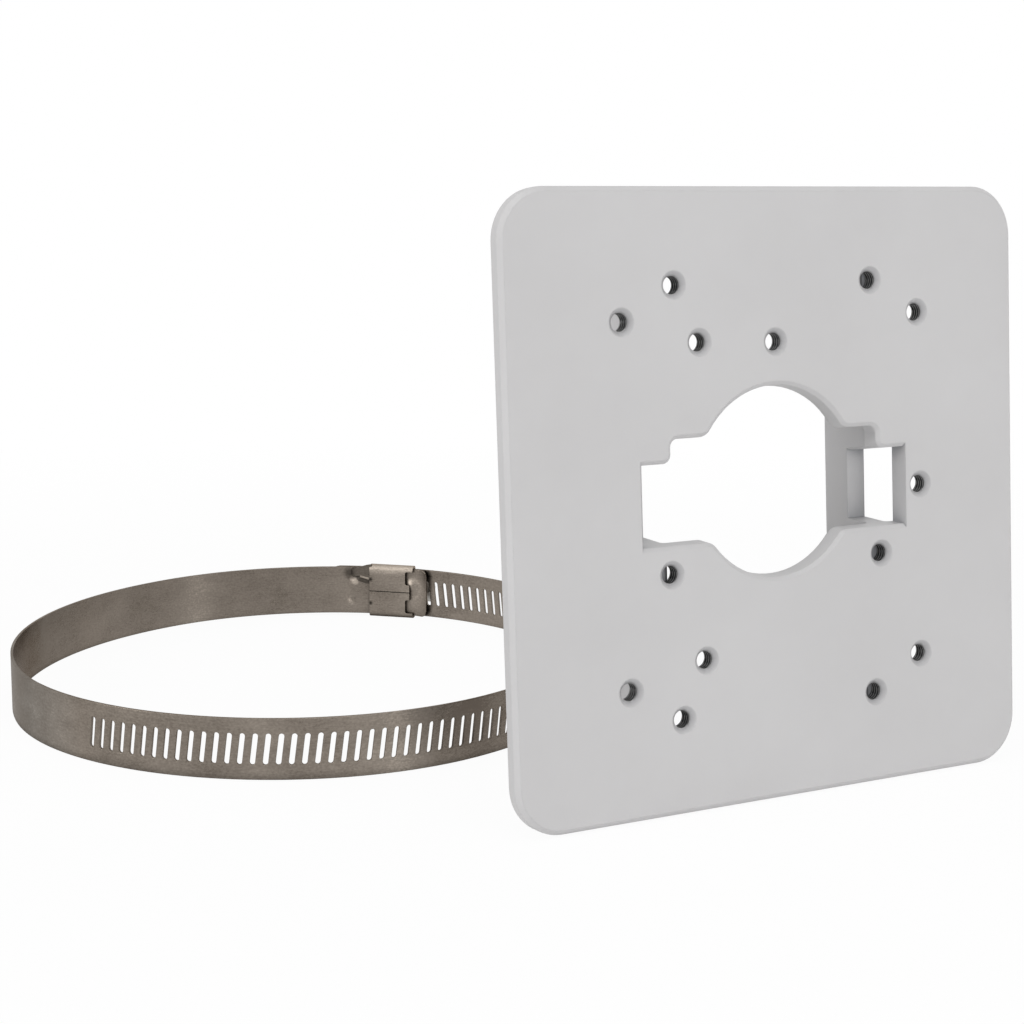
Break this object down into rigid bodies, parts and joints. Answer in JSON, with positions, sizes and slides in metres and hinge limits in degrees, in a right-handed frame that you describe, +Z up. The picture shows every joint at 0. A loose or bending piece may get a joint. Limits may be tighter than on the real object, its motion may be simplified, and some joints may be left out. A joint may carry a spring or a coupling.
{
  "type": "pole mount adapter",
  "caption": "Square cast plate with a stepped cable opening and tapped hole patterns, two rear ribs that seat on a pole, and a slotted worm-drive band clamp.",
  "frame": {"origin": "middle of the bottom of the box round the plate and the clamp together", "axes": "+Z up, the plate faces -Y and leans back on its ribs, the clamp lies behind it to the -X side"},
  "size_m": [0.2122, 0.2263, 0.1397],
  "materials": {
    "plate_paint": "satin pale grey powder coat",
    "band_steel": "rolled stainless strip, warm grey",
    "housing_steel": "folded stainless strip",
    "screw_steel": "turned stainless"
  },
  "bodies": {
    "adapter": {"mount_plate": "plate_paint", "clamp_band": "band_steel", "clamp_housing": "housing_steel"},
    "screw": {"worm_screw": "screw_steel"}
  },
  "joints": [
    {"name": "worm_turn", "type": "hinge", "parent": "adapter", "child": "screw", "pos_m": [0.03639, 0.0989, 0.00841], "axis": [-0.7604, 0.6494, 0], "continuous": true}
  ]
}
